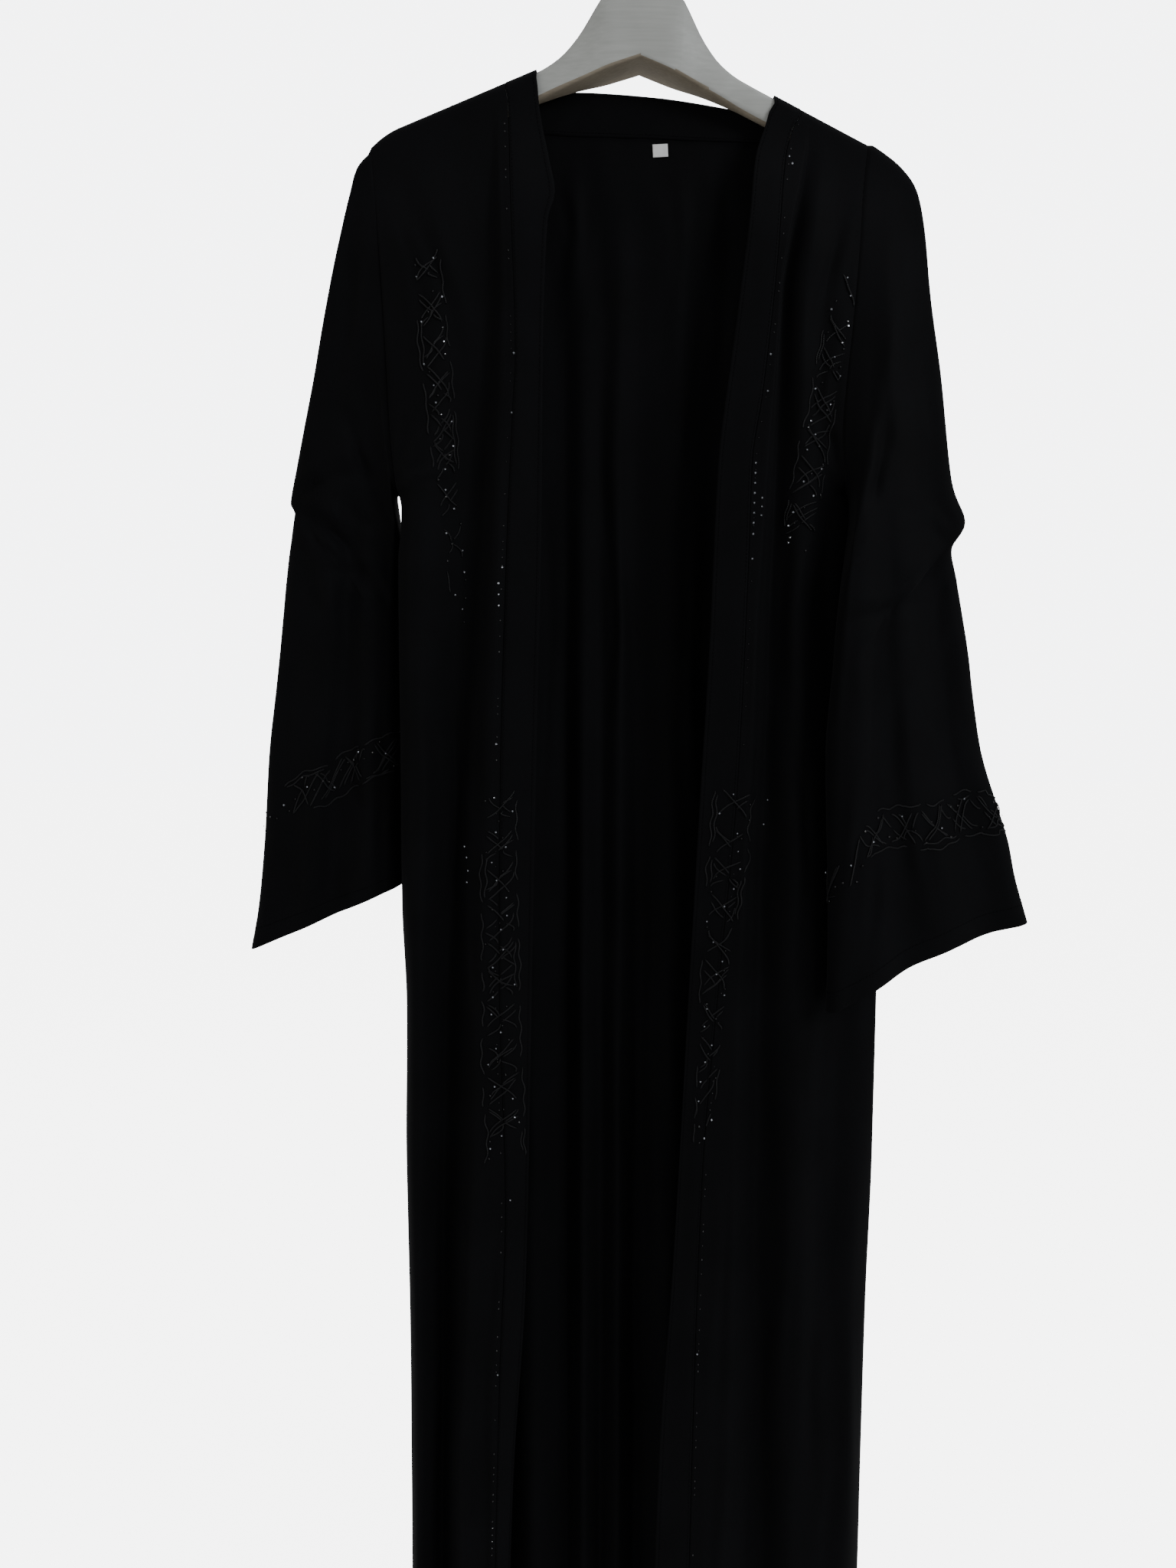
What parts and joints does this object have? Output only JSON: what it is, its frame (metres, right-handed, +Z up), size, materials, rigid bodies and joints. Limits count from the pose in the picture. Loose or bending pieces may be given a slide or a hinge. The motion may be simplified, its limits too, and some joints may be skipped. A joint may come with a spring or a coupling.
{
  "type": "abaya cloak on a hanger",
  "caption": "Long black open-front abaya cloak with flared sleeves, cord embroidery and small glass stones, hanging on a painted wooden hanger.",
  "frame": {"origin": "underside of the hook's crown, where it rests on a rod", "axes": "+Z up, and the open front of the cloak faces -Y"},
  "size_m": [0.6759, 0.0952, 1.5399],
  "materials": {
    "crepe": "matte black crepe with a faint sheen",
    "tag": "bare white woven tag",
    "hanger_paint": "satin grey-white paint",
    "hook_steel": "polished"
  },
  "bodies": {
    "root": {"front_left": "crepe", "front_right": "crepe", "back": "crepe", "sleeve_left": "crepe", "sleeve_right": "crepe", "front_band_left": "crepe", "front_band_right": "crepe", "neck_band": "crepe", "size_label": "tag", "hanger": "hanger_paint", "hook": "hook_steel"}
  },
  "joints": []
}
